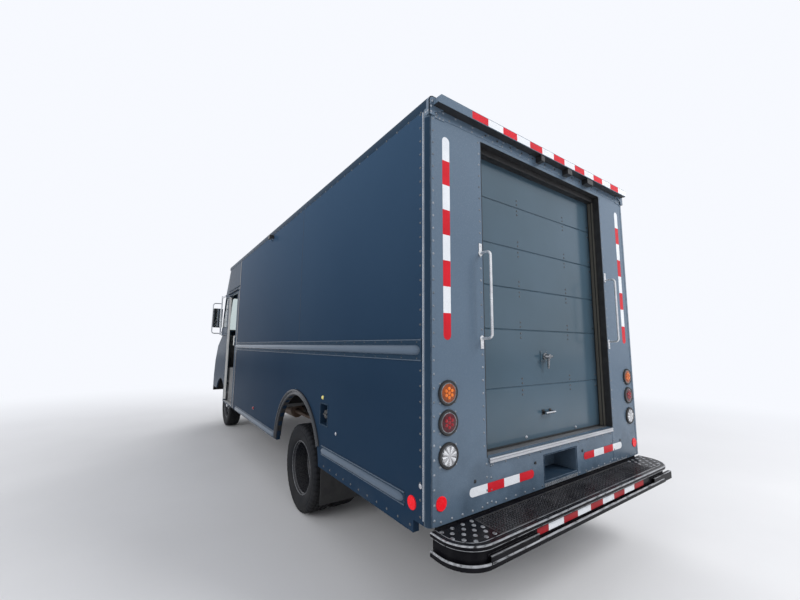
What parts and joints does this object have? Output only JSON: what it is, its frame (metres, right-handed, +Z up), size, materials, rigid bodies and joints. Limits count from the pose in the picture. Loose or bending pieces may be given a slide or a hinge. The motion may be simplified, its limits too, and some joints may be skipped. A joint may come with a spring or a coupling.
{
  "type": "walk-in step van",
  "caption": "Walk-in step van with a flat-sided body, roll-up rear door, rear step bumper and sliding cab doors.",
  "frame": {"origin": "on the ground under the middle of the outer box", "axes": "+Z up, the van faces -Y, its left side is +X"},
  "size_m": [2.819, 7.81, 3.09],
  "materials": {
    "paint": "gloss",
    "aluminium": "satin",
    "black_metal": "satin",
    "chassis_black": "matte",
    "glass": "gloss",
    "tyre": "matte",
    "rubber": "matte",
    "lamp_red": "gloss",
    "lamp_amber": "gloss",
    "lamp_clear": "gloss",
    "bright_steel": "satin",
    "cast_iron": "matte",
    "grey_plastic": "matte",
    "seat_fabric": "matte"
  },
  "bodies": {
    "truck": {"chassis_frame": "chassis_black", "floor": "aluminium", "side_panel_left": "paint", "side_panel_right": "paint", "roof": "aluminium", "rear_frame": "paint", "step_pocket": "paint", "threshold": "aluminium", "rear_door": "paint", "door_hardware": "bright_steel", "grab_handles": "aluminium", "rear_step": "black_metal", "step_tread": "black_metal", "rear_lamps": "lamp_red", "rub_rails": "paint", "arch_flares": "paint", "door_frames": "paint", "door_tracks": "aluminium", "cab_front": "paint", "windscreen": "glass", "nose": "paint", "grille": "black_metal", "headlamps": "lamp_clear", "front_bumper": "black_metal", "mirrors": "aluminium", "fuel_filler": "paint", "front_axle": "cast_iron", "rear_axle": "cast_iron", "leaf_springs": "chassis_black", "engine": "cast_iron", "fuel_tank": "aluminium", "exhaust": "bright_steel", "dashboard": "grey_plastic", "driver_seat": "seat_fabric", "partition": "aluminium", "header_rail": "black_metal", "marker_lamps": "lamp_amber"},
    "hood": {"hood": "paint"},
    "door_left": {"door_left": "paint", "door_left_glass": "glass"},
    "door_right": {"door_right": "paint", "door_right_glass": "glass"},
    "knuckle_left": {"knuckle_left": "cast_iron"},
    "knuckle_right": {"knuckle_right": "cast_iron"},
    "tie_rod": {"tie_rod": "chassis_black"},
    "front_wheel_left": {"front_tyre_left": "tyre", "front_rim_left": "black_metal"},
    "front_wheel_right": {"front_tyre_right": "tyre", "front_rim_right": "black_metal"},
    "rear_wheels_left": {"rear_tyres_left": "tyre", "rear_rims_left": "black_metal"},
    "rear_wheels_right": {"rear_tyres_right": "tyre", "rear_rims_right": "black_metal"},
    "steering_wheel": {"steering_wheel": "rubber"}
  },
  "joints": [
    {"name": "steer_left", "type": "hinge", "parent": "truck", "child": "knuckle_left", "pos_m": [0.765, -2.925, 0.405], "axis": [0, 0, 1], "range_deg": [-32, 32]},
    {"name": "steer_right", "type": "hinge", "parent": "truck", "child": "knuckle_right", "pos_m": [-0.765, -2.925, 0.405], "axis": [0, 0, 1], "range_deg": [-32, 32]},
    {"name": "tie_rod_pin", "type": "hinge", "parent": "knuckle_left", "child": "tie_rod", "pos_m": [0.765, -2.735, 0.33], "axis": [0, 0, 1], "range_deg": [-32, 32]},
    {"name": "steering_wheel_turn", "type": "hinge", "parent": "truck", "child": "steering_wheel", "pos_m": [0.56, -2.305, 1.64], "axis": [0, 0.5, 0.866], "range_deg": [-512, 512]},
    {"name": "front_wheel_left_spin", "type": "hinge", "parent": "knuckle_left", "child": "front_wheel_left", "pos_m": [0.94, -2.925, 0.405], "axis": [1, 0, 0], "continuous": true},
    {"name": "front_wheel_right_spin", "type": "hinge", "parent": "knuckle_right", "child": "front_wheel_right", "pos_m": [-0.94, -2.925, 0.405], "axis": [1, 0, 0], "continuous": true},
    {"name": "rear_wheels_left_spin", "type": "hinge", "parent": "truck", "child": "rear_wheels_left", "pos_m": [0.927, 1.595, 0.405], "axis": [1, 0, 0], "continuous": true},
    {"name": "rear_wheels_right_spin", "type": "hinge", "parent": "truck", "child": "rear_wheels_right", "pos_m": [-0.927, 1.595, 0.405], "axis": [1, 0, 0], "continuous": true},
    {"name": "door_left_slide", "type": "slide", "parent": "truck", "child": "door_left", "axis": [0, -1, 0], "range_m": [0, 0.685]},
    {"name": "door_right_slide", "type": "slide", "parent": "truck", "child": "door_right", "axis": [0, 1, 0], "range_m": [0, 0.685]},
    {"name": "hood_hinge", "type": "hinge", "parent": "truck", "child": "hood", "pos_m": [0, -3.081, 1.765], "axis": [-1, 0, 0], "range_deg": [0, 50]}
  ],
  "couplings": [
    {"joint": "steer_right", "follows": "steer_left", "ratio": 1},
    {"joint": "tie_rod_pin", "follows": "steer_left", "ratio": -1},
    {"joint": "steering_wheel_turn", "follows": "steer_left", "ratio": 16}
  ]
}
